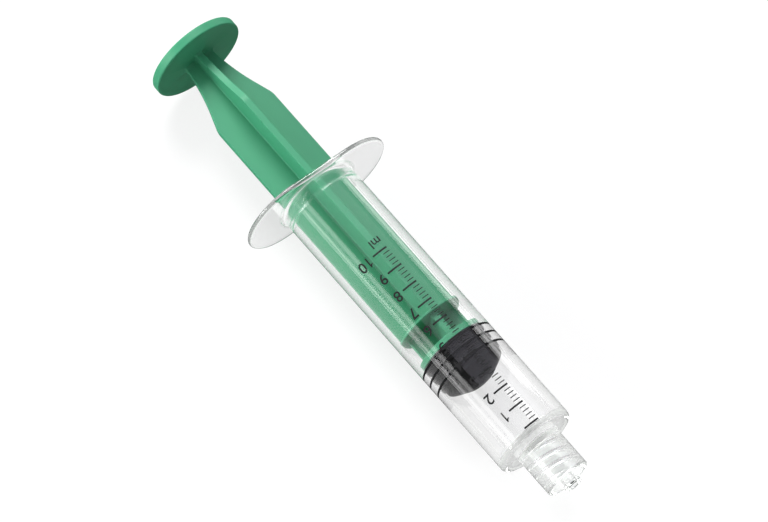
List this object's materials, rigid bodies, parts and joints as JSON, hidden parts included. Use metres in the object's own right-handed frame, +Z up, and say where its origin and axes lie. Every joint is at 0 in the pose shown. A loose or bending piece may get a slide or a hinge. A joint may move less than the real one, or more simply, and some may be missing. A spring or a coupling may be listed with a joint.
{
  "type": "luer lock syringe",
  "caption": "Clear disposable syringe with finger flange and luer-lock collar, ribbed green plunger and black rubber stopper, lying on its side.",
  "frame": {"origin": "on the surface that the syringe lies on, under the middle of its box", "axes": "+X along the syringe towards the tip, which hangs 1.62 degrees down; +Y along the long side of the finger flange; +Z up"},
  "size_m": [0.1304, 0.0374, 0.0238],
  "materials": {
    "clear_plastic": "clear moulded plastic, polished",
    "green_plastic": "satin moulded",
    "black_rubber": "smooth, oiled",
    "black_ink": "printed scale"
  },
  "bodies": {
    "barrel": {"barrel": "clear_plastic"},
    "stopper": {"stopper": "black_rubber"},
    "plunger": {"plunger": "green_plastic"}
  },
  "joints": [
    {"name": "plunger_slide", "type": "slide", "parent": "barrel", "child": "stopper", "axis": [0.9996, 0, -0.0283], "range_m": [-0.0356, 0.0185]},
    {"name": "plunger_turn", "type": "hinge", "parent": "stopper", "child": "plunger", "pos_m": [0.02875, 0, 0.00996], "axis": [0.9996, 0, -0.0283], "continuous": true}
  ]
}
